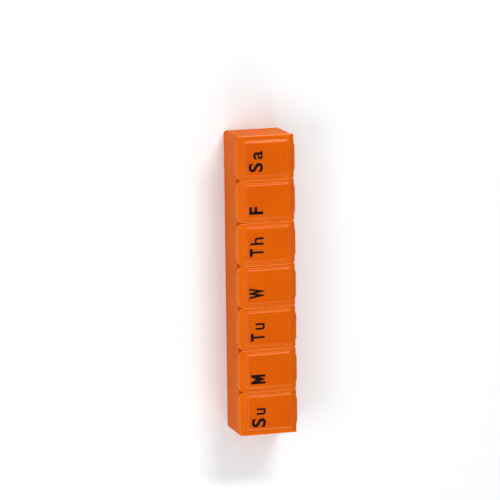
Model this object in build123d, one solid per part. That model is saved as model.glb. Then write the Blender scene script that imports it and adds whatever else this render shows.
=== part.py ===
from build123d import *
import math
import os

# One-row, seven-day pill organizer. Millimetres.
# X runs along the row, from the Sunday end to the Saturday end.
# Y runs across it, from the thumb tabs at the front to the living hinges at the back.
# Z points up. The origin is the middle of the flat underside.

DAYS = ("su", "m", "tu", "w", "th", "f", "sa")

# Distance under which two heights or sides count as the same
near = 0.001

# Compartments
pocket_length = 20.4
pocket_width = 26.6
pocket_depth = 20.2
pocket_scoop = 2.5
pocket_corner = 1.2

# Tray walls
divider = 1.2
end_wall = 1.5
long_wall = 1.4
floor_thickness = 1.4
tray_corner = 1.5
tray_foot_round = 1.0

# Lid plates
lid_gap = 0.2
lid_plate = 1.2
lid_corner = 0.8
lid_front_lip = 0.6
lid_back_cut_x = 3.1
lid_back_cut_y = 1.7
lid_edge_round = 0.45

# Raised panel on each lid
panel_rise = 1.2
panel_bevel = 1.0
panel_side_inset = 1.45
panel_front_inset = 2.4
panel_back_inset = 3.4
panel_corner = 1.7
panel_edge_round = 0.5
panel_skin = 1.2

# Plug rim under each lid, which drops into the compartment
plug_clearance = 0.2
plug_depth = 2.0
plug_wall = 1.0
plug_lead_in = 0.3

# Thumb tab on each lid's front edge
tab_width = 11.5
tab_reach = 0.5
tab_slope = 1.6
tab_round = 1.5

# Living hinge web behind each lid
web_thickness = 0.3
web_fold_radius = 0.5
web_side_inset = 0.3

# Sizes that follow from the ones above
pitch = pocket_length + divider
tray_length = len(DAYS) * pocket_length + (len(DAYS) - 1) * divider + 2 * end_wall
tray_width = pocket_width + 2 * long_wall
rim = floor_thickness + pocket_depth
front = -tray_width / 2
back = tray_width / 2
lid_front = front - lid_front_lip
panel_length = pitch - lid_gap - 2 * panel_side_inset
plug_length = pocket_length - 2 * plug_clearance
plug_width = pocket_width - 2 * plug_clearance
bevel_angle = math.degrees(math.atan2(panel_bevel, panel_rise))


def pocket_centre(index):
    """X of the middle of one compartment, counted from the Sunday end."""
    return (index - (len(DAYS) - 1) / 2) * pitch


def lid_ends(index):
    """Lowest and highest X of one lid. The two end lids run out over the end walls."""
    low = pocket_centre(index) - pitch / 2 + lid_gap / 2
    high = pocket_centre(index) + pitch / 2 - lid_gap / 2
    if index == 0:
        low = -tray_length / 2
    if index == len(DAYS) - 1:
        high = tray_length / 2
    return low, high


def rounded_between(low_x, high_x, low_y, high_y, radius):
    """Flat rectangle with its sides at the given coordinates and its corners rounded."""
    middle = Location(((low_x + high_x) / 2, (low_y + high_y) / 2))
    return middle * RectangleRounded(high_x - low_x, high_y - low_y, radius)


def pocket_space():
    """The space of one compartment, centred on X and Y, open at the rim.

    Its floor curves up into the front and back walls, so a finger can slide a pill out.
    """
    half = pocket_width / 2
    section = Pos(0, floor_thickness + pocket_depth / 2) * Rectangle(pocket_width, pocket_depth)
    low_corners = section.vertices().group_by(Axis.Y)[0]
    section = fillet(low_corners, pocket_scoop)
    across = Plane(origin=(-pocket_length / 2, 0, 0), x_dir=(0, 1, 0), z_dir=(1, 0, 0))
    space = extrude(across * section, pocket_length)
    ends = space.faces().sort_by(Axis.X)
    end_edges = ends[0].edges() + ends[-1].edges()
    # all edges of the two ends are rounded except the ones along the open rim
    rounded_edges = [e for e in end_edges if e.center().Z < rim - near or abs(e.center().Y) > half - near]
    return fillet(rounded_edges, pocket_corner)


def tray():
    """The trough: an outer block with one compartment for each day cut into it."""
    outline = RectangleRounded(tray_length, tray_width, tray_corner)
    block = extrude(outline, rim)
    block = fillet(block.faces().sort_by(Axis.Z)[0].edges(), tray_foot_round)
    space = pocket_space()
    for index in range(len(DAYS)):
        block -= Pos(pocket_centre(index), 0, 0) * space
    return block


def lid_outline(low_x, high_x, middle_x):
    """Plan of one lid plate: back corners cut off beside the hinge, thumb tab in front.

    The plate runs out over the front wall as a low lip, and the tab swells a little further out.
    """
    tab_low = middle_x - tab_width / 2
    tab_high = middle_x + tab_width / 2
    corners = [
        ((low_x, lid_front), lid_corner),
        ((tab_low - tab_slope, lid_front), tab_round),
        ((tab_low, lid_front - tab_reach), tab_round),
        ((tab_high, lid_front - tab_reach), tab_round),
        ((tab_high + tab_slope, lid_front), tab_round),
        ((high_x, lid_front), lid_corner),
        ((high_x, back - lid_back_cut_y), lid_corner),
        ((high_x - lid_back_cut_x, back), lid_corner),
        ((low_x + lid_back_cut_x, back), lid_corner),
        ((low_x, back - lid_back_cut_y), lid_corner),
    ]
    points = [point for point, radius in corners]
    radii = [radius for point, radius in corners]
    return make_face(FilletPolyline(*points, radius=radii, close=True))


def lid(index):
    """One lid: plate, raised hollow panel, plug rim and thumb tab as a single moulding."""
    low_x, high_x = lid_ends(index)
    middle_x = pocket_centre(index)
    plate_top = rim + lid_plate
    plate = Pos(0, 0, rim) * extrude(lid_outline(low_x, high_x, middle_x), lid_plate)
    top_edges = plate.faces().sort_by(Axis.Z)[-1].edges()
    plate = fillet(top_edges, lid_edge_round)

    # every panel is the same length, so the two end lids have a wider rim at their outer end
    panel_low_x = middle_x - panel_length / 2
    panel_high_x = middle_x + panel_length / 2
    panel_front = lid_front + panel_front_inset
    panel_back = back - panel_back_inset
    panel_plan = rounded_between(panel_low_x, panel_high_x, panel_front, panel_back, panel_corner)
    panel = Pos(0, 0, plate_top) * extrude(panel_plan, panel_rise, taper=bevel_angle)
    panel = fillet(panel.faces().sort_by(Axis.Z)[-1].edges(), panel_edge_round)
    body = plate + panel

    # the recess keeps one skin thickness under the panel's top and beside its bevels
    recess_height = lid_plate + panel_rise - panel_skin
    side = panel_bevel * (1 - recess_height / panel_rise) + panel_skin
    recess_plan = rounded_between(
        panel_low_x + side, panel_high_x - side, panel_front + side, panel_back - side, panel_corner
    )
    body -= Pos(0, 0, rim) * extrude(recess_plan, recess_height, taper=bevel_angle)

    plug_corner = pocket_corner - plug_clearance
    plug_outer = extrude(RectangleRounded(plug_length, plug_width, plug_corner), -plug_depth)
    plug_outer = chamfer(plug_outer.faces().sort_by(Axis.Z)[0].edges(), plug_lead_in)
    plug_inner = extrude(
        RectangleRounded(plug_length - 2 * plug_wall, plug_width - 2 * plug_wall, plug_corner / 2),
        -plug_depth,
    )
    body += Pos(middle_x, 0, rim) * (plug_outer - plug_inner)
    return body


def hinge_web(index):
    """One living hinge: a thin strap folded round from the tray's back to the lid's back."""
    low_x, high_x = lid_ends(index)
    inset = lid_back_cut_x + web_side_inset
    outer = web_fold_radius + web_thickness / 2
    inner = web_fold_radius - web_thickness / 2
    ring = Circle(outer) - Circle(inner)
    behind = Pos(outer, 0) * Rectangle(2 * outer, 4 * outer)
    section = ring & behind
    across = Plane(origin=(low_x + inset, back, rim), x_dir=(0, 1, 0), z_dir=(1, 0, 0))
    return extrude(across * section, high_x - low_x - 2 * inset)


export_step(tray(), "parts/tray.step")
for number, day in enumerate(DAYS):
    export_step(lid(number), f"parts/lid_{day}.step")
    export_step(hinge_web(number), f"parts/hinge_{day}.step")

print("length", tray_length, "width", tray_width, "rim", rim, "height", rim + lid_plate + panel_rise)
print("hinge axis: y", back + math.pi * web_fold_radius / 2, "z", rim)
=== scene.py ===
import logging
import math
from collections.abc import Callable, Iterator
from contextlib import contextmanager
from dataclasses import dataclass, field
from enum import Enum

import bmesh
import bpy
from bmesh.types import BMEdge, BMFace, BMVert
from bpy.types import Material, Node, NodeSocket, NodeTree, Object
from mathutils import Matrix, Quaternion, Vector


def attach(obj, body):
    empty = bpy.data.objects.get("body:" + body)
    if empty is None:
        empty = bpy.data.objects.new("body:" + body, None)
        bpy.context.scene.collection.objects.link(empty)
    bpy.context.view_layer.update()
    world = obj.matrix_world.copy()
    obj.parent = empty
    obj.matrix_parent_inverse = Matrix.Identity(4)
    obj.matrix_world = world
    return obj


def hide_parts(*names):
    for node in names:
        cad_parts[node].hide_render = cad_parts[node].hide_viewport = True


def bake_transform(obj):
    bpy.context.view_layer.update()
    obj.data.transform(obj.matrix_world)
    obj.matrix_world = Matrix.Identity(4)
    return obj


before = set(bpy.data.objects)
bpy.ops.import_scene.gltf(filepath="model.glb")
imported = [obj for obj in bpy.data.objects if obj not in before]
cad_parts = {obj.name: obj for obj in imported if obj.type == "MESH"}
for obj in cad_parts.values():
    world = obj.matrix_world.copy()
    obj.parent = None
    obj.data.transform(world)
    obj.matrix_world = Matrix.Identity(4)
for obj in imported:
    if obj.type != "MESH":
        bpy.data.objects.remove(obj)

# Weekly pill organizer: one row of seven lidded compartments in translucent orange plastic.
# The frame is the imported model's: X along the row towards Saturday, Y towards the hinges, Z up.
# Sizes are written in millimetres, and turned to metres where a shape is made.

MM = 0.001
# a cut can leave two points this close together, and they are made one
WELD_MM = 0.004
# where a swept or joined mesh meets itself, its points are this close
JOIN_MM = 0.001
# places and heights this close are the same
SAME_MM = 0.02
# a face looks along an axis when its normal has this share there
FACING = 0.9
# an edge stands upright when its height is this share of its length
UPRIGHT = 0.999
# surfaces that meet at less than this are shaded as one
SMOOTH_DEG = 40
log = logging.getLogger("organizer")


class Day(Enum):
    """The seven days: node suffix, printed mark, and how far before the lid's middle the mark starts."""

    SUNDAY = ("su", "Su", 7.35)
    MONDAY = ("m", "M", 6.6)
    TUESDAY = ("tu", "Tu", 6.25)
    WEDNESDAY = ("w", "W", 6.1)
    THURSDAY = ("th", "Th", 6.1)
    FRIDAY = ("f", "F", 6.35)
    SATURDAY = ("sa", "Sa", 6.5)

    @property
    def suffix(self) -> str:
        """The end of this day's node names."""
        return self.value[0]

    @property
    def mark(self) -> str:
        """The letters printed on this day's lid."""
        return self.value[1]

    @property
    def mark_lead(self) -> float:
        """Millimetres from the start of the mark to the lid's middle. Each lid is printed by itself."""
        return self.value[2]


class Part(Enum):
    """What a selection is made of."""

    CORNER = "VERT"
    EDGE = "EDGE"
    FACE = "FACE"


def linear_colour(sheet: str) -> tuple[float, float, float, float]:
    """Turns an sRGB hex colour into the linear values that a shader takes.

    Args:
        sheet: six hex digits, such as "E8640F".

    Returns:
        Linear red, green, blue and an alpha of 1.
    """
    channels = []
    for start in (0, 2, 4):
        value = int(sheet[start:start + 2], 16) / 255
        if value <= 0.04045:
            channels.append(value / 12.92)
        else:
            channels.append(((value + 0.055) / 1.055) ** 2.4)
    return (channels[0], channels[1], channels[2], 1.0)


def add_node(tree: NodeTree, kind: str, settings: dict | None = None, links: dict | None = None) -> Node:
    """Adds one node with its settings and its incoming links.

    Args:
        tree: the material's node tree.
        kind: the node's Blender type name.
        settings: attribute names, or input names or numbers, to values.
        links: input names or numbers to the output sockets that feed them.

    Returns:
        The new node.
    """
    node = tree.nodes.new(kind)
    for name, value in (settings or {}).items():
        if isinstance(name, str) and hasattr(node, name):
            setattr(node, name, value)
        else:
            node.inputs[name].default_value = value
    for name, socket in (links or {}).items():
        tree.links.new(socket, node.inputs[name])
    return node


def new_tree(name: str) -> tuple[Material, NodeTree, NodeSocket]:
    """Makes a node material with no surface yet.

    Args:
        name: the finish's name.

    Returns:
        The material, its node tree and the Object coordinates that its patterns are laid on.
    """
    material = bpy.data.materials.new(name)
    material.use_nodes = True
    tree = material.node_tree
    tree.nodes.clear()
    return material, tree, add_node(tree, "ShaderNodeTexCoord").outputs["Object"]


def add_noise(tree: NodeTree, place: NodeSocket, size_mm: float, detail: float) -> NodeSocket:
    """Adds a noise pattern.

    Args:
        tree: the material's node tree.
        place: the coordinates it is laid on.
        size_mm: about how far apart its spots are.
        detail: how many finer layers it has.

    Returns:
        The pattern's value, from 0 to 1.
    """
    noise = add_node(
        tree, "ShaderNodeTexNoise", {"Scale": 1 / (size_mm * MM), "Detail": detail}, {"Vector": place}
    )
    return noise.outputs["Fac"]


def add_ramp(tree: NodeTree, value: NodeSocket, start: float = 0.0, end: float = 1.0, low: float = 0.0,
             high: float = 1.0, kind: str = "LINEAR") -> NodeSocket:
    """Turns a value into one that goes from one level to another between two marks, and stays there.

    Args:
        tree: the node tree.
        value: the value that is turned.
        start: the mark where the result starts to change.
        end: the mark where it has changed.
        low: the level before.
        high: the level after.
        kind: LINEAR or SMOOTHSTEP.

    Returns:
        The result.
    """
    ramp = add_node(
        tree,
        "ShaderNodeMapRange",
        {"interpolation_type": kind, "From Min": start, "From Max": end, "To Min": low, "To Max": high},
        {"Value": value},
    )
    return ramp.outputs[0]


def multiply(tree: NodeTree, first: NodeSocket, second: NodeSocket) -> NodeSocket:
    """Multiplies two values."""
    return add_node(tree, "ShaderNodeMath", {"operation": "MULTIPLY"}, {0: first, 1: second}).outputs[0]


def mix_colours(tree: NodeTree, first: str | NodeSocket, second: str, share: NodeSocket) -> NodeSocket:
    """Mixes a second colour into a first one.

    Args:
        tree: the material's node tree.
        first: an sRGB hex colour, or the output of an earlier mix.
        second: an sRGB hex colour.
        share: how much of the second is seen.

    Returns:
        The mixed colour.
    """
    settings = {"data_type": "RGBA", 7: linear_colour(second)}
    links = {"Factor": share}
    if isinstance(first, str):
        settings[6] = linear_colour(first)
    else:
        links[6] = first
    return add_node(tree, "ShaderNodeMix", settings, links).outputs[2]


def add_bump(tree: NodeTree, height: NodeSocket, depth_mm: float, strength: float = 1.0,
             under: NodeSocket | None = None) -> NodeSocket:
    """Adds a relief too fine to model.

    Args:
        tree: the material's node tree.
        height: the relief's pattern.
        depth_mm: how deep it is.
        strength: how much of it is seen.
        under: a coarser relief that it lies on.

    Returns:
        The surface's normal.
    """
    links = {"Height": height}
    if under is not None:
        links["Normal"] = under
    bump = add_node(tree, "ShaderNodeBump", {"Strength": strength, "Distance": depth_mm * MM}, links)
    return bump.outputs["Normal"]


def add_surface(tree: NodeTree, settings: dict, links: dict) -> None:
    """Ends a material with its surface.

    Args:
        tree: the material's node tree.
        settings: the surface's input names to values.
        links: its input names to the sockets that feed them.
    """
    surface = add_node(tree, "ShaderNodeBsdfPrincipled", settings, links)
    add_node(tree, "ShaderNodeOutputMaterial", None, {"Surface": surface.outputs[0]})


@dataclass(frozen=True)
class MouldedPolypropylene:
    """Translucent polypropylene copolymer, injection moulded in a steel mould.

    Light goes about a millimetre into it and comes out warm. Its colour drifts a little along the
    melt's flow, and its skin has the mould's fine texture. Below pale_glow_from_mm of height, where a lid
    steps down from its panel, it is painted paler as a painted glow, and past lip_shade_from_mm of depth
    its front edge is painted deeper as a painted shade. The two shares say by how much, and are nothing
    on the other mouldings.
    """

    name: str
    body: str = "EE7206"
    deep: str = "E26604"
    # the paler colour of the painted glow on a lid's stepped-down rims
    thin: str = "FB820C"
    pale_glow_from_mm: float = 0.0
    pale_glow_range_mm: float = 0.5
    pale_glow_share: float = 0.0
    # the deeper colour of the painted shade along a lid's front edge
    lip_shade_tint: str = "DA6A12"
    lip_shade_from_mm: float = -12.6
    lip_shade_to_mm: float = -14.4
    lip_shade_share: float = 0.0
    roughness: float = 0.24
    rough_drift: float = 0.025
    clearness: float = 0.12
    glow_depth_mm: float = 0.8
    glow_spread: tuple[float, float, float] = (1.0, 0.5, 0.2)
    bending: float = 1.49
    gleam: float = 0.8
    sheen_tint: str = "FFDCA8"
    flow_mm: float = 14.0
    grain_mm: float = 0.35
    grain_depth_mm: float = 0.006
    ripple_mm: float = 9.0
    ripple_depth_mm: float = 0.03

    def build(self) -> Material:
        """Makes the material.

        Returns:
            The plastic.
        """
        material, tree, place = new_tree(self.name)
        flow = add_noise(tree, place, self.flow_mm, detail=0.5)
        # the mould's spark-eroded texture is finer than this, and is drawn coarse enough to show
        grain = add_noise(tree, place, self.grain_mm, detail=3.0)
        # thin mouldings are never quite flat: the skin has slow ripples that bend its highlights
        ripple = add_noise(tree, place, self.ripple_mm, detail=1.0)
        colour = mix_colours(tree, self.body, self.deep, flow)
        # painted glow: where a lid steps down from its panel its colour is painted paler, standing in for
        # light coming back through the thinner wall
        parts = add_node(tree, "ShaderNodeSeparateXYZ", None, {"Vector": place})
        pale_glow_to_mm = self.pale_glow_from_mm - self.pale_glow_range_mm
        painted_glow = add_ramp(
            tree, parts.outputs["Z"], self.pale_glow_from_mm * MM, pale_glow_to_mm * MM, high=self.pale_glow_share
        )
        colour = mix_colours(tree, colour, self.thin, painted_glow)
        # painted shade: a lid's front edge, which stands out over the wall, is painted deeper, standing
        # in for the shade it takes as it turns away from the light
        painted_lip_shade = add_ramp(
            tree, parts.outputs["Y"], self.lip_shade_from_mm * MM, self.lip_shade_to_mm * MM, high=self.lip_shade_share
        )
        colour = mix_colours(tree, colour, self.lip_shade_tint, painted_lip_shade)
        gloss = add_ramp(
            tree, flow, low=self.roughness - self.rough_drift, high=self.roughness + self.rough_drift
        )
        slow = add_bump(tree, ripple, self.ripple_depth_mm)
        skin = add_bump(tree, grain, self.grain_depth_mm, under=slow)
        add_surface(
            tree,
            {
                "IOR": self.bending,
                "Specular IOR Level": self.gleam,
                "Specular Tint": linear_colour(self.sheen_tint),
                "Transmission Weight": self.clearness,
                "Subsurface Weight": 1.0,
                "Subsurface Radius": self.glow_spread,
                "Subsurface Scale": self.glow_depth_mm * MM,
            },
            {"Base Color": colour, "Roughness": gloss, "Normal": skin},
        )
        return material


@dataclass(frozen=True)
class PadPrintInk:
    """Black pad-printing ink for polyolefins, laid on as a fine film and flame dried.

    It is a soft black with a little of the orange coming through, half glossy and slightly uneven.
    """

    name: str = "pad_print_ink"
    full: str = "120504"
    thin: str = "260B06"
    least_roughness: float = 0.29
    most_roughness: float = 0.46
    blotch_mm: float = 1.1
    thin_from: float = 0.45
    thin_to: float = 0.7
    film_mm: float = 0.01
    bending: float = 1.5
    gleam: float = 0.22

    def build(self) -> Material:
        """Makes the material.

        Returns:
            The ink.
        """
        material, tree, place = new_tree(self.name)
        blotch = add_noise(tree, place, self.blotch_mm, detail=4.0)
        cover = add_ramp(tree, blotch, self.thin_from, self.thin_to)
        colour = mix_colours(tree, self.full, self.thin, cover)
        gloss = add_ramp(tree, blotch, low=self.least_roughness, high=self.most_roughness)
        film = add_bump(tree, blotch, self.film_mm, strength=0.6)
        add_surface(
            tree,
            {"IOR": self.bending, "Specular IOR Level": self.gleam},
            {"Base Color": colour, "Roughness": gloss, "Normal": film},
        )
        return material


@dataclass(frozen=True)
class PaperSweep:
    """Matt white backdrop paper, with the faint cloudiness and tooth of its pulp."""
    # the lids get a painted glow on their stepped-down rims and a painted shade along their front edges

    name: str = "backdrop_paper"
    white: str = "F7FAFF"
    cloud: str = "F5F8FD"
    cloud_mm: float = 60.0
    tooth_mm: float = 0.5
    tooth_depth_mm: float = 0.02
    roughness: float = 0.9

    def build(self) -> Material:
        """Makes the material.

        Returns:
            The paper.
        """
        material, tree, place = new_tree(self.name)
        cloud = add_noise(tree, place, self.cloud_mm, detail=2.0)
        tooth = add_noise(tree, place, self.tooth_mm, detail=2.0)
        colour = mix_colours(tree, self.white, self.cloud, cloud)
        relief = add_bump(tree, tooth, self.tooth_depth_mm, strength=0.3)
        add_surface(tree, {"Roughness": self.roughness}, {"Base Color": colour, "Normal": relief})
        return material


def wear(piece: Object, material: Material) -> None:
    """Gives a piece one finish all over.

    Args:
        piece: a new piece or a carried-over CAD node.
        material: its finish.
    """
    piece.data.materials.clear()
    piece.data.materials.append(material)


def add_block(name: str, low: tuple[float, float, float], high: tuple[float, float, float]) -> Object:
    """Adds a cube that fills a box, as the start of a shape.

    Args:
        name: the new object's name.
        low: the box's lowest corner, in millimetres.
        high: its highest corner.

    Returns:
        The block, with its place in its mesh.
    """
    bpy.ops.object.select_all(action="DESELECT")
    low_corner = Vector(low) * MM
    high_corner = Vector(high) * MM
    bpy.ops.mesh.primitive_cube_add(
        size=1, location=(low_corner + high_corner) / 2, scale=high_corner - low_corner
    )
    block = bpy.context.active_object
    block.name = name
    bpy.ops.object.transform_apply(location=True, rotation=True, scale=True)
    return block


def select_only(piece: Object) -> None:
    """Makes one piece the selected and active one.

    Args:
        piece: the piece.
    """
    bpy.ops.object.select_all(action="DESELECT")
    piece.select_set(True)
    bpy.context.view_layer.objects.active = piece


@contextmanager
def editing(piece: Object) -> Iterator[None]:
    """Holds one piece in edit mode.

    Args:
        piece: the piece to shape.
    """
    select_only(piece)
    bpy.ops.object.mode_set(mode="EDIT")
    yield
    bpy.ops.object.mode_set(mode="OBJECT")


def pick(piece: Object, part: Part, wanted: Callable[..., bool]) -> None:
    """Selects the corners, edges or faces of a piece that pass a test, and nothing else.

    Args:
        piece: the piece in edit mode.
        part: what the selection is made of.
        wanted: the test, which gets one corner, edge or face.
    """
    bpy.ops.mesh.select_all(action="DESELECT")
    bpy.ops.mesh.select_mode(type=part.value)
    net = bmesh.from_edit_mesh(piece.data)
    net.normal_update()
    for item in {Part.CORNER: net.verts, Part.EDGE: net.edges, Part.FACE: net.faces}[part]:
        if wanted(item):
            item.select_set(True)
    net.select_flush_mode()
    bmesh.update_edit_mesh(piece.data)


def looks_up(face: BMFace) -> bool:
    """Whether a face looks up."""
    return face.normal.z > FACING


def looks_down(face: BMFace) -> bool:
    """Whether a face looks down."""
    return face.normal.z < -FACING


def upright(edge: BMEdge) -> bool:
    """Whether an edge stands straight up."""
    run = edge.verts[1].co - edge.verts[0].co
    return abs(run.z) > UPRIGHT * run.length


def upright_at(spots: list[tuple[float, float]]) -> Callable[[BMEdge], bool]:
    """Makes the test for an edge that stands straight up at one of some places in plan.

    Args:
        spots: the places, in millimetres.

    Returns:
        The test.
    """
    def wanted(edge: BMEdge) -> bool:
        """Whether an edge is one of them."""
        spot = (edge.verts[0].co + edge.verts[1].co) / 2 / MM
        return upright(edge) and any(math.hypot(spot.x - x, spot.y - y) < SAME_MM for x, y in spots)

    return wanted


def round_off(piece: Object, part: Part, wanted: Callable[..., bool], radius: float, steps: int) -> None:
    """Rounds the edges of a piece that pass a test, or the outline of the faces that do.

    Args:
        piece: the piece in edit mode.
        part: EDGE, or FACE for an outline.
        wanted: the test, which gets one edge or face.
        radius: the round's radius, in millimetres.
        steps: faces across the round.
    """
    pick(piece, part, wanted)
    if part is Part.FACE:
        bpy.ops.mesh.region_to_loop()
    bpy.ops.mesh.bevel(offset=radius * MM, segments=steps, affect="EDGES")


def combine(piece: Object, tool: Object, operation: str) -> None:
    """Joins a tool to a piece or cuts it away, welds the seam's doubled points, and removes the tool.

    Args:
        piece: the piece that is kept.
        tool: the other body.
        operation: UNION or DIFFERENCE.
    """
    select_only(piece)
    modifier = piece.modifiers.new("combine", "BOOLEAN")
    modifier.operation = operation
    modifier.solver = "EXACT"
    modifier.object = tool
    bpy.ops.object.modifier_apply(modifier=modifier.name)
    bpy.data.objects.remove(tool, do_unlink=True)
    with editing(piece):
        bpy.ops.mesh.select_all(action="SELECT")
        bpy.ops.mesh.remove_doubles(threshold=WELD_MM * MM)
        bpy.ops.mesh.dissolve_degenerate(threshold=WELD_MM * MM)


def soften(piece: Object, width: float, segments: int, angle_deg: float = 50) -> None:
    """Rounds every edge sharper than an angle.

    Args:
        piece: the finished shape.
        width: how much of each side the round takes, in millimetres.
        segments: faces across the round.
        angle_deg: the least angle that is rounded.
    """
    select_only(piece)
    rounding = piece.modifiers.new("rounding", "BEVEL")
    rounding.width = width * MM
    rounding.segments = segments
    rounding.limit_method = "ANGLE"
    rounding.angle_limit = math.radians(angle_deg)
    rounding.use_clamp_overlap = True
    bpy.ops.object.modifier_apply(modifier=rounding.name)


def smooth(piece: Object) -> None:
    """Shades a piece's rounds smooth and keeps its flats flat to the light.

    Args:
        piece: the finished shape.
    """
    select_only(piece)
    bpy.ops.object.shade_smooth_by_angle(angle=math.radians(SMOOTH_DEG))
    shading = piece.modifiers.new("shading", "WEIGHTED_NORMAL")
    shading.keep_sharp = True
    bpy.ops.object.modifier_apply(modifier=shading.name)


@dataclass
class Tray:
    """The trough that carries the lids: seven scooped compartments in one block. Millimetres."""

    length: float = 153.0
    width: float = 29.4
    rim: float = 21.6
    corner: float = 1.5
    foot_round: float = 1.0
    rim_round: float = 0.15
    floor: float = 1.4
    pocket_size: tuple[float, float] = (20.4, 26.6)
    pocket_scoop: float = 2.5
    pocket_corner: float = 1.2
    scoop_steps: int = 10
    corner_steps: int = 8
    edge_steps: int = 6
    rim_steps: int = 3

    def pocket(self) -> Object:
        """Models the space of the middle compartment.

        Returns:
            The body that is cut away.
        """
        half_x = self.pocket_size[0] / 2
        half_y = self.pocket_size[1] / 2
        # the body stands well above the rim, so that the rounds of its top end stay clear of the walls
        space = add_block(
            "pocket", (-half_x, -half_y, self.floor), (half_x, half_y, self.rim + 2 * self.pocket_corner)
        )
        with editing(space):
            round_off(
                space,
                Part.EDGE,
                lambda edge: all(corner.co.z / MM < self.floor + SAME_MM for corner in edge.verts)
                and abs(edge.verts[0].co.y - edge.verts[1].co.y) < SAME_MM * MM,
                self.pocket_scoop,
                self.scoop_steps,
            )
            round_off(
                space,
                Part.FACE,
                lambda face: abs(face.normal.x) > FACING,
                self.pocket_corner,
                self.edge_steps,
            )
        return space

    def model(self, name: str, middles: list[float]) -> Object:
        """Models the whole tray.

        Args:
            name: the finished object's name.
            middles: X of the middle of each compartment.

        Returns:
            The tray, with its place in its mesh.
        """
        half_x = self.length / 2
        half_y = self.width / 2
        tray = add_block(name, (-half_x, -half_y, 0), (half_x, half_y, self.rim))
        tray.data.name = name
        with editing(tray):
            round_off(tray, Part.EDGE, upright, self.corner, self.corner_steps)
            round_off(tray, Part.FACE, looks_down, self.foot_round, self.edge_steps)
        pocket = self.pocket()
        for middle in middles:
            space = pocket.copy()
            space.data = pocket.data.copy()
            bpy.context.collection.objects.link(space)
            space.location.x = middle * MM
            combine(tray, space, "DIFFERENCE")
        bpy.data.objects.remove(pocket, do_unlink=True)
        soften(tray, self.rim_round, self.rim_steps)
        smooth(tray)
        return tray


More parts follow.
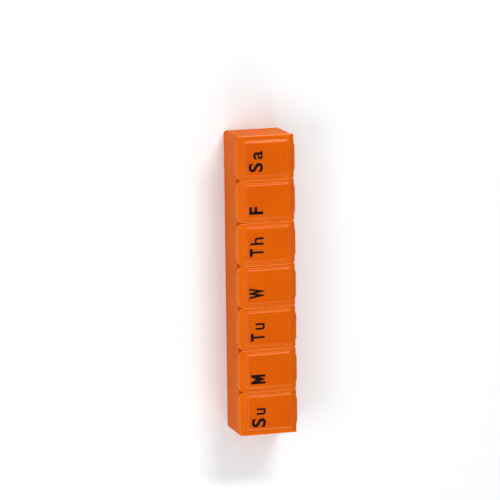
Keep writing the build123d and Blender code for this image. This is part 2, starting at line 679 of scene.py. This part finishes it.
@dataclass
class Lid:
    """One lid moulding: plate, hollow raised panel, plug rim and thumb tab. Millimetres."""

    low_x: float
    high_x: float
    middle_x: float
    front: float = -15.3
    back: float = 14.7
    rim: float = 21.6
    plate: float = 1.2
    corner: float = 0.8
    back_cut: tuple[float, float] = (3.1, 1.7)
    edge_round: float = 0.45
    foot_round: float = 0.12
    tab_width: float = 11.5
    tab_reach: float = 0.5
    tab_slope: float = 1.6
    tab_blend: float = 0.23
    panel_length: float = 18.5
    panel_front: float = 2.4
    panel_back: float = 3.4
    panel_corner: float = 1.7
    panel_rise: float = 1.2
    panel_bevel: float = 1.0
    panel_flare: float = 0.35
    panel_edge_round: float = 0.5
    recess_step: float = 1.2
    recess_start: float = 0.5
    plug_size: tuple[float, float] = (20.0, 26.2)
    plug_depth: float = 2.0
    plug_wall: float = 1.0
    plug_lead_in: float = 0.3
    plug_corner: float = 1.0
    hollow_corner: float = 0.5
    mould_round: float = 0.1
    ejector_length: float = 1.0
    ejector_radius: float = 1.2
    ejector_depth: float = 0.12
    ejector_spots: tuple[tuple[float, float], ...] = ((-5, -8.4), (5, -8.4), (-5, 6.8), (5, 6.8))
    ejector_sides: int = 28
    corner_steps: int = 5
    panel_corner_steps: int = 7
    profile_steps: int = 5
    edge_steps: int = 6
    small_steps: int = 2

    @property
    def top(self) -> float:
        """Height of the plate's top face."""
        return self.rim + self.plate

    @property
    def slope(self) -> float:
        """Angle between the panel's bevel and the plate, in radians."""
        return math.atan2(self.panel_rise, self.panel_bevel)

    @property
    def flare_reach(self) -> float:
        """How far outside the panel's sides its flare starts."""
        return self.panel_flare * math.tan(self.slope / 2)

    def outline(self) -> Object:
        """Models the plate with its tab, its cut back corners and its rounded edges.

        Returns:
            The plate.
        """
        plate = add_block("plate", (self.low_x, self.front, self.rim), (self.high_x, self.back, self.top))
        half_tab = self.tab_width / 2
        tab_sides = (self.middle_x - half_tab, self.middle_x + half_tab)
        tab_roots = (tab_sides[0] - self.tab_slope, tab_sides[1] + self.tab_slope)
        tab_front = self.front - self.tab_reach
        cut_x, cut_y = self.back_cut
        back_corners = [
            (self.low_x, self.back - cut_y),
            (self.high_x, self.back - cut_y),
            (self.low_x + cut_x, self.back),
            (self.high_x - cut_x, self.back),
        ]
        with editing(plate):
            for side in tab_sides + tab_roots:
                pick(plate, Part.FACE, lambda face: face.normal.y < -FACING)
                bpy.ops.mesh.bisect(plane_co=(side * MM, 0, 0), plane_no=(1, 0, 0))
            pick(plate, Part.EDGE, upright_at([(side, self.front) for side in tab_sides]))
            bpy.ops.transform.translate(value=(0, -self.tab_reach * MM, 0))
            for end, outward in ((self.low_x, -1), (self.high_x, 1)):
                bpy.ops.mesh.select_all(action="SELECT")
                bpy.ops.mesh.bisect(
                    plane_co=(end * MM, (self.back - cut_y) * MM, 0),
                    plane_no=(outward * cut_y, cut_x, 0),
                    use_fill=True,
                    clear_outer=True,
                )
            for spots, radius in (
                ([(self.low_x, self.front), (self.high_x, self.front)], self.corner),
                ([(side, tab_front) for side in tab_sides], self.tab_blend),
                ([(root, self.front) for root in tab_roots], self.tab_blend),
                (back_corners, self.corner),
            ):
                round_off(plate, Part.EDGE, upright_at(spots), radius, self.corner_steps)
            round_off(plate, Part.FACE, looks_up, self.edge_round, self.edge_steps)
            round_off(plate, Part.FACE, looks_down, self.foot_round, self.small_steps)
        return plate

    def panel_profile(self) -> list[tuple[float, float]]:
        """Draws the panel's side, from its flared foot to its flat top.

        Returns:
            Steps inwards and upwards.
        """
        points = []
        for number in range(self.profile_steps + 1):
            turn = self.slope * number / self.profile_steps
            points.append((
                self.panel_flare * math.sin(turn) - self.flare_reach,
                self.panel_flare * (1 - math.cos(turn)),
            ))
        reach = self.panel_edge_round * math.tan(self.slope / 2)
        for number in range(self.profile_steps + 1):
            turn = self.slope * (1 - number / self.profile_steps)
            points.append((
                self.panel_bevel + reach - self.panel_edge_round * math.sin(turn),
                self.panel_rise - self.panel_edge_round * (1 - math.cos(turn)),
            ))
        return [(b[0] - a[0], b[1] - a[1]) for a, b in zip(points, points[1:])]

    def panel_block(self, name: str, inset: float, low_z: float, high_z: float) -> Object:
        """Adds a plain block whose sides run along the panel's.

        Args:
            name: the block's name.
            inset: how far its sides are inside the panel's.
            low_z: its lowest height.
            high_z: its highest height.

        Returns:
            The block.
        """
        half_x = self.panel_length / 2 - inset
        return add_block(
            name,
            (self.middle_x - half_x, self.front + self.panel_front + inset, low_z),
            (self.middle_x + half_x, self.back - self.panel_back - inset, high_z),
        )

    def panel(self) -> Object:
        """Models the raised panel, with a soft flare at its foot and a round at its top.

        Returns:
            The panel, which reaches down into the plate.
        """
        block = self.panel_block("panel", -self.flare_reach, self.top - self.plate / 2, self.top)
        with editing(block):
            foot_corner = self.panel_corner + self.flare_reach
            round_off(block, Part.EDGE, upright, foot_corner, self.panel_corner_steps)
            pick(block, Part.FACE, looks_up)
            for inwards, upwards in self.panel_profile():
                bpy.ops.mesh.inset(thickness=inwards * MM, depth=upwards * MM)
        return block

    def recess(self) -> Object:
        """Models the hollow under the panel.

        Returns:
            The body that is cut away.
        """
        block = self.panel_block("recess", self.recess_step, self.rim - self.recess_start, self.rim)
        with editing(block):
            round_off(block, Part.EDGE, upright, self.panel_corner, self.corner_steps)
            pick(block, Part.FACE, looks_up)
            bpy.ops.mesh.inset(thickness=self.panel_bevel * MM, depth=self.panel_rise * MM)
        return block

    def plug_block(self, inset: float, low_z: float, high_z: float, radius: float) -> Object:
        """Models a block with rounded corners, concentric with the plug.

        Args:
            inset: how far its sides are inside the plug's outer sides.
            low_z: its lowest height.
            high_z: its highest height.
            radius: its corners' radius.

        Returns:
            The block.
        """
        half_x = self.plug_size[0] / 2 - inset
        half_y = self.plug_size[1] / 2 - inset
        low = (self.middle_x - half_x, -half_y, low_z)
        high = (self.middle_x + half_x, half_y, high_z)
        block = add_block("plug", low, high)
        with editing(block):
            round_off(block, Part.EDGE, upright, radius, self.corner_steps)
        return block

    def ejector_pin(self, offset_x: float, place_y: float) -> Object:
        """Models the end of one ejector pin, which leaves its round mark inside the lid.

        Args:
            offset_x: its place along the row, from the lid's middle.
            place_y: its place across the row.

        Returns:
            The body that is cut away.
        """
        middle_z = self.top + self.ejector_depth - self.ejector_length / 2
        bpy.ops.object.select_all(action="DESELECT")
        bpy.ops.mesh.primitive_cylinder_add(
            vertices=self.ejector_sides,
            radius=self.ejector_radius * MM,
            depth=self.ejector_length * MM,
            location=((self.middle_x + offset_x) * MM, place_y * MM, middle_z * MM),
        )
        pin = bpy.context.active_object
        bpy.ops.object.transform_apply(location=True, rotation=True, scale=True)
        return pin

    def model(self, name: str) -> Object:
        """Models the whole lid.

        Args:
            name: the finished object's name.

        Returns:
            The lid, shut, with its place in its mesh.
        """
        lid = self.outline()
        combine(lid, self.panel(), "UNION")
        plug_foot = self.rim - self.plug_depth
        plug = self.plug_block(0, plug_foot, self.rim + self.plate / 2, self.plug_corner)
        with editing(plug):
            round_off(plug, Part.FACE, looks_down, self.plug_lead_in, self.small_steps)
        combine(lid, plug, "UNION")
        # the hollow's body stands out below the plug, so that their feet don't meet
        hollow_foot = plug_foot - self.plug_depth
        hollow = self.plug_block(self.plug_wall, hollow_foot, self.rim, self.hollow_corner)
        combine(lid, hollow, "DIFFERENCE")
        combine(lid, self.recess(), "DIFFERENCE")
        lid.name = name
        lid.data.name = name
        soften(lid, self.mould_round, self.small_steps)
        for offset_x, place_y in self.ejector_spots:
            combine(lid, self.ejector_pin(offset_x, place_y), "DIFFERENCE")
        smooth(lid)
        return lid


@dataclass
class LivingHinge:
    """The slender web folded round behind one lid, thicker where it runs into the walls. Millimetres."""

    low_x: float
    high_x: float
    back: float = 14.7
    rim: float = 21.6
    fold_radius: float = 0.5
    thickness: float = 0.3
    root_thickness: float = 0.5
    steps: int = 20
    root_steps: int = 4
    same_turn: float = 0.02

    def model(self, name: str) -> Object:
        """Spins the web's section half way round the fold.

        Args:
            name: the finished object's name.

        Returns:
            The web, folded as it is when the lid is shut.
        """
        foot_z = self.rim - self.fold_radius
        bpy.ops.object.select_all(action="DESELECT")
        bpy.ops.mesh.primitive_plane_add(
            size=1, location=((self.low_x + self.high_x) / 2 * MM, self.back * MM, foot_z * MM)
        )
        web = bpy.context.active_object
        web.name = name
        web.data.name = name
        with editing(web):
            bpy.ops.mesh.select_all(action="SELECT")
            bpy.ops.transform.resize(value=((self.high_x - self.low_x) * MM, self.thickness * MM, 1))
            bpy.ops.transform.rotate(
                value=math.pi / 2, orient_axis="X", center_override=(0, self.back * MM, foot_z * MM)
            )
        bpy.ops.object.transform_apply(location=True, rotation=True, scale=True)
        with editing(web):
            bpy.ops.mesh.select_all(action="SELECT")
            bpy.ops.mesh.spin(
                steps=self.steps,
                angle=-math.pi,
                center=(0, self.back * MM, self.rim * MM),
                axis=(1, 0, 0),
            )
            self.thicken_roots(web)
            bpy.ops.mesh.select_all(action="SELECT")
            bpy.ops.mesh.remove_doubles(threshold=JOIN_MM * MM)
            bpy.ops.mesh.normals_make_consistent(inside=False)
        return web

    def turn_of(self, corner: BMVert, end: int) -> float:
        """How far round the fold a corner is from one of its ends, in radians."""
        return math.atan2(corner.co.y / MM - self.back, end * (corner.co.z / MM - self.rim))

    def thicken_roots(self, web: Object) -> None:
        """Thickens the web towards its two ends, where it runs into the tray and the lid.

        Args:
            web: the folded web in edit mode.
        """
        for number in range(self.root_steps):
            turn = math.pi * number / self.steps
            nearness = (1 - number / self.root_steps) ** 2
            growth = 1 + (self.root_thickness / self.thickness - 1) * nearness
            for end in (-1, 1):
                pick(
                    web,
                    Part.CORNER,
                    lambda corner: abs(self.turn_of(corner, end) - turn) < self.same_turn,
                )
                bpy.ops.transform.resize(
                    value=(1, growth, growth),
                    center_override=(
                        0,
                        (self.back + self.fold_radius * math.sin(turn)) * MM,
                        (self.rim + end * self.fold_radius * math.cos(turn)) * MM,
                    ),
                )


@dataclass(frozen=True)
class Glyph:
    """How one letter is drawn: its ink's width in millimetres, and its weight in letter units.

    A drop draws the middle of an M down by that many letter units, as in a bold narrow letter.
    """

    width: float
    weight: float
    drop: float = 0.0


@dataclass
class DayMark:
    """The letters printed on one lid, read from the front of the row. Millimetres."""

    mark: str
    start_x: float
    baseline_y: float = 1.35
    surface_z: float = 24.0
    cap_height: float = 7.4
    gap: float = 1.75
    film: float = 0.03
    font_cap: float = 0.75
    curve_steps: int = 6
    edge_steps: int = 1
    smooth_deg: float = 50
    # the middle of an M in letter units: its point, and where its strokes leave the legs
    point_half: float = 0.1
    point_below: float = 0.33
    stroke_half: float = 0.24
    stroke_heights: tuple[float, float] = (0.4, 0.6)
    glyphs: dict[str, Glyph] = field(
        default_factory=lambda: {
            "S": Glyph(4.6, 0.027),
            "M": Glyph(4.75, 0.04, 0.24),
            "T": Glyph(4.1, 0.03),
            "W": Glyph(5.5, 0.06),
            "F": Glyph(3.9, 0.032),
            "u": Glyph(3.4, 0.018),
            "h": Glyph(3.8, 0.013),
            "a": Glyph(4.3, 0.018),
        }
    )

    def letter(self, letter: str, left_x: float) -> tuple[Object, float]:
        """Makes one letter as a flat mesh at its place.

        Args:
            letter: the letter.
            left_x: where its left side starts.

        Returns:
            The letter and where its right side ends.
        """
        glyph = self.glyphs[letter]
        bpy.ops.object.select_all(action="DESELECT")
        bpy.ops.object.text_add()
        text = bpy.context.active_object
        text.data.body = letter
        text.data.bevel_depth = glyph.weight
        text.data.bevel_resolution = self.edge_steps
        text.data.resolution_u = self.curve_steps
        bpy.ops.object.convert(target="MESH")
        ink = bpy.context.active_object
        if glyph.drop:
            self.lower_middle(ink, glyph.drop)
        scale = self.cap_height / self.font_cap
        lowest_x = min(corner.co.x for corner in ink.data.vertices)
        highest_x = max(corner.co.x for corner in ink.data.vertices)
        stretch = glyph.width / (highest_x - lowest_x)
        for corner in ink.data.vertices:
            corner.co.x = (left_x + (corner.co.x - lowest_x) * stretch) * MM
            corner.co.y = (self.baseline_y + (corner.co.y + glyph.weight) * scale) * MM
            corner.co.z = (self.surface_z + corner.co.z / glyph.weight * self.film) * MM
        return ink, left_x + glyph.width

    def lower_middle(self, ink: Object, drop: float) -> None:
        """Draws the strokes between an M's legs further down.

        Args:
            ink: the letter, in its own letter units.
            drop: how far the point of the strokes moves. Where they leave the legs it is half of that.
        """
        middle = sum(corner.co.x for corner in ink.data.vertices) / len(ink.data.vertices)
        low, high = self.stroke_heights
        with editing(ink):
            pick(
                ink,
                Part.CORNER,
                lambda corner: abs(corner.co.x - middle) < self.point_half
                and corner.co.y < self.point_below,
            )
            bpy.ops.transform.translate(value=(0, -drop, 0))
            pick(
                ink,
                Part.CORNER,
                lambda corner: self.point_half < abs(corner.co.x - middle) < self.stroke_half
                and low < corner.co.y < high,
            )
            bpy.ops.transform.translate(value=(0, -drop / 2, 0))

    def model(self, name: str) -> Object:
        """Makes the mark as one fine film of ink that stands on the lid's panel.

        Args:
            name: the finished object's name.

        Returns:
            The mark.
        """
        letters = []
        left_x = self.start_x
        for letter in self.mark:
            ink, right_x = self.letter(letter, left_x)
            letters.append(ink)
            left_x = right_x + self.gap
        bpy.ops.object.select_all(action="DESELECT")
        for ink in letters:
            ink.select_set(True)
        bpy.context.view_layer.objects.active = letters[0]
        if len(letters) > 1:
            bpy.ops.object.join()
        mark = bpy.context.active_object
        mark.name = name
        mark.data.name = name
        with editing(mark):
            bpy.ops.mesh.select_all(action="SELECT")
            bpy.ops.mesh.remove_doubles(threshold=JOIN_MM * MM)
            bpy.ops.mesh.normals_make_consistent(inside=False)
        bpy.ops.object.shade_smooth_by_angle(angle=math.radians(self.smooth_deg))
        return mark


@dataclass
class Organizer:
    """The whole organizer: the tray, the seven lids, their hinge webs and marks. Millimetres."""

    pitch: float = 21.6
    lid_gap: float = 0.08
    tray_length: float = 153.0
    hinge_inset: float = 3.4

    def middle(self, number: int) -> float:
        """X of the middle of one compartment."""
        return (number - (len(Day) - 1) / 2) * self.pitch

    def ends(self, number: int) -> tuple[float, float]:
        """Finds where one lid ends along the row. The two end lids run out over the end walls.

        Args:
            number: the lid's place in the row, from 0.

        Returns:
            The lid's lowest and highest X.
        """
        low = self.middle(number) - self.pitch / 2 + self.lid_gap / 2
        high = self.middle(number) + self.pitch / 2 - self.lid_gap / 2
        if number == 0:
            low = -self.tray_length / 2
        if number == len(Day) - 1:
            high = self.tray_length / 2
        return low, high

    def build_tray(self, finish: Material) -> None:
        """Models the tray.

        Args:
            finish: its plastic.
        """
        tray = Tray(self.tray_length).model("tray_moulding", [self.middle(n) for n in range(len(Day))])
        wear(tray, finish)
        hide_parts("tray")
        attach(tray, "tray")
        log.info("modelled %s", tray.name)

    def copy_lid(self, lid: Object, name: str, places: int) -> Object:
        """Copies an inner lid along the row.

        Args:
            lid: the lid.
            name: the copy's name.
            places: how many compartments further along it goes.

        Returns:
            The copy, with its place in its mesh.
        """
        other = lid.copy()
        other.data = lid.data.copy()
        other.name = name
        other.data.name = name
        bpy.context.collection.objects.link(other)
        select_only(other)
        other.location.x = places * self.pitch * MM
        bpy.ops.object.transform_apply(location=True, rotation=False, scale=False)
        return other

    def build_lids(self, finish: Material) -> None:
        """Models the two longer end lids and the first inner one, and copies that one.

        Args:
            finish: their plastic.
        """
        first_inner = 1
        lids = []
        for number, day in enumerate(Day):
            name = f"lid_{day.suffix}_moulding"
            if number in (0, first_inner, len(Day) - 1):
                lid = Lid(*self.ends(number), self.middle(number)).model(name)
            else:
                lid = self.copy_lid(lids[first_inner], name, number - first_inner)
            lids.append(lid)
            wear(lid, finish)
            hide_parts(f"lid_{day.suffix}")
            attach(lid, f"lid_{day.suffix}")
            log.info("modelled %s", name)

    def build_hinges(self, finish: Material) -> None:
        """Models the folded webs between the tray and the lids.

        Args:
            finish: their plastic.
        """
        for number, day in enumerate(Day):
            low_x, high_x = self.ends(number)
            hinge = LivingHinge(low_x + self.hinge_inset, high_x - self.hinge_inset)
            web = hinge.model(f"hinge_{day.suffix}_web")
            select_only(web)
            bpy.ops.object.shade_smooth_by_angle(angle=math.radians(SMOOTH_DEG))
            wear(web, finish)
            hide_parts(f"hinge_{day.suffix}")
            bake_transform(web)
            log.info("modelled %s", web.name)

    def build_marks(self, ink: Material) -> None:
        """Prints each lid's day mark.

        Args:
            ink: the marks' finish.
        """
        for number, day in enumerate(Day):
            mark = DayMark(day.mark, self.middle(number) - day.mark_lead).model(f"mark_{day.suffix}")
            wear(mark, ink)
            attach(mark, f"lid_{day.suffix}")
            log.info("printed %s", mark.name)


@dataclass(frozen=True)
class Lamp:
    """A soft rectangular lamp that faces the organizer. Metres and watts."""

    name: str
    place: tuple[float, float, float]
    width: float
    length: float
    power: float
    tint: tuple[float, float, float] = (1.0, 0.97, 0.91)

    def hang(self) -> None:
        """Hangs the lamp with its long side level, across the row."""
        data = bpy.data.lights.new(self.name, "AREA")
        data.shape = "RECTANGLE"
        data.size = self.length
        data.size_y = self.width
        data.energy = self.power
        data.color = self.tint
        lamp = bpy.data.objects.new(self.name, data)
        bpy.context.collection.objects.link(lamp)
        back = Vector(self.place).normalized()
        across = Vector((0, 0, 1)).cross(back).normalized()
        axes = Matrix((across, back.cross(across), back)).transposed()
        lamp.rotation_mode = "QUATERNION"
        lamp.rotation_quaternion = axes.to_quaternion()
        lamp.location = self.place


@dataclass
class Studio:
    """The pale floor, the soft lights and the camera."""

    elevation_deg: float = 70.45
    azimuth_deg: float = 57.10
    roll_deg: float = 120.65
    distance: float = 2.0
    aim: tuple[float, float, float] = (0.015943, 0.003723, 0.007815)
    focal_px: float = 3963.6
    frame_px: float = 500.0
    sensor_mm: float = 36.0
    far_clip: float = 20.0
    dome_strength: float = 1.03
    side_share: float = 0.18
    end_share: float = 0.3
    end_range: tuple[float, float] = (0.2, 0.9)
    flag_strength: float = 0.04
    flag_range: tuple[float, float] = (0.82, 0.95)
    flag_direction: tuple[float, float, float] = (-0.182, -0.281, 0.942)
    floor_size: float = 6.0
    floor_gap: float = 0.02

    def camera(self) -> None:
        """Sets the camera at the photograph's angle, far back behind a long lens."""
        elevation = math.radians(self.elevation_deg)
        azimuth = math.radians(self.azimuth_deg)
        outward = Vector((
            math.cos(elevation) * math.cos(azimuth),
            math.cos(elevation) * math.sin(azimuth),
            math.sin(elevation),
        ))
        data = bpy.data.cameras.new("camera")
        data.sensor_width = self.sensor_mm
        data.lens = self.focal_px * self.sensor_mm / self.frame_px
        data.clip_end = self.far_clip
        camera = bpy.data.objects.new("camera", data)
        bpy.context.collection.objects.link(camera)
        turn = outward.to_track_quat("Z", "Y")
        camera.rotation_mode = "QUATERNION"
        camera.rotation_quaternion = turn @ Quaternion((0, 0, 1), math.radians(self.roll_deg))
        camera.location = Vector(self.aim) + outward * self.distance
        bpy.context.scene.camera = camera

    def lights(self) -> None:
        """Hangs four soft lamps.

        The strip and the low reflector off the Saturday end draw the bright lines along the lids' and
        panels' far edges, the reflector off the other end keeps the near bevels from going dark, and the
        softbox lights the hinges' side.
        """
        for lamp in (
            Lamp("strip_over_saturday", (0.88, -0.3, 0.76), 0.1, 0.5, 7.2),
            Lamp("reflector_past_saturday", (1.15, -0.338, 0.12), 0.2, 0.4, 1.1),
            Lamp("reflector_over_sunday", (-0.85, -0.1, 0.5), 0.3, 0.8, 2.2),
            Lamp("softbox_behind_hinges", (-0.15, 0.62, 0.52), 0.3, 0.6, 1.95),
        ):
            lamp.hang()

    def dome(self) -> None:
        """Sets a pale dome over the stage, dimmer towards both long sides and past the Saturday end."""
        world = bpy.data.worlds.new("dome")
        world.use_nodes = True
        tree = world.node_tree
        tree.nodes.clear()
        direction = add_node(tree, "ShaderNodeTexCoord").outputs["Generated"]
        # a dark flag hangs where the lids' flat tops would mirror the dome into the camera
        towards_flag = add_node(
            tree,
            "ShaderNodeVectorMath",
            {"operation": "DOT_PRODUCT", 1: self.flag_direction},
            {0: direction},
        )
        flagged = add_ramp(
            tree,
            towards_flag.outputs["Value"],
            *self.flag_range,
            low=self.dome_strength,
            high=self.flag_strength,
            kind="SMOOTHSTEP",
        )
        parts = add_node(tree, "ShaderNodeSeparateXYZ", None, {"Vector": direction})
        sideways = multiply(tree, parts.outputs["Y"], parts.outputs["Y"])
        side = add_ramp(tree, sideways, low=1.0, high=self.side_share)
        end = add_ramp(tree, parts.outputs["X"], *self.end_range, low=1.0, high=self.end_share)
        strength = multiply(tree, flagged, multiply(tree, end, side))
        glow = add_node(tree, "ShaderNodeBackground", {"Color": (1, 1, 1, 1)}, {"Strength": strength})
        add_node(tree, "ShaderNodeOutputWorld", None, {"Surface": glow.outputs[0]})
        bpy.context.scene.world = world

    def floor(self) -> None:
        """Lays the pale floor under the tray."""
        bpy.ops.object.select_all(action="DESELECT")
        bpy.ops.mesh.primitive_plane_add(size=self.floor_size, location=(0, 0, -self.floor_gap * MM))
        sheet = bpy.context.active_object
        sheet.name = "floor"
        wear(sheet, PaperSweep().build())


def main() -> None:
    """Builds the organizer's pieces in order and sets the stage round them."""
    logging.basicConfig(level=logging.INFO)
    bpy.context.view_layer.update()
    bpy.context.scene.view_settings.view_transform = "Standard"
    studio = Studio()
    studio.camera()
    studio.lights()
    studio.dome()
    studio.floor()
    tray_finish = MouldedPolypropylene(
        "polypropylene_tray", body="E06200", deep="D25500", roughness=0.5, gleam=0.03
    ).build()
    lid_finish = MouldedPolypropylene(
        "polypropylene_lid", pale_glow_from_mm=23.75, pale_glow_share=0.4, lip_shade_share=1.0
    ).build()
    web_finish = MouldedPolypropylene(
        "polypropylene_hinge", body="F47408", deep="EA6806", roughness=0.36, gleam=0.4
    ).build()
    organizer = Organizer()
    organizer.build_tray(tray_finish)
    organizer.build_lids(lid_finish)
    organizer.build_hinges(web_finish)
    organizer.build_marks(PadPrintInk().build())


if __name__ == "__main__":
    main()
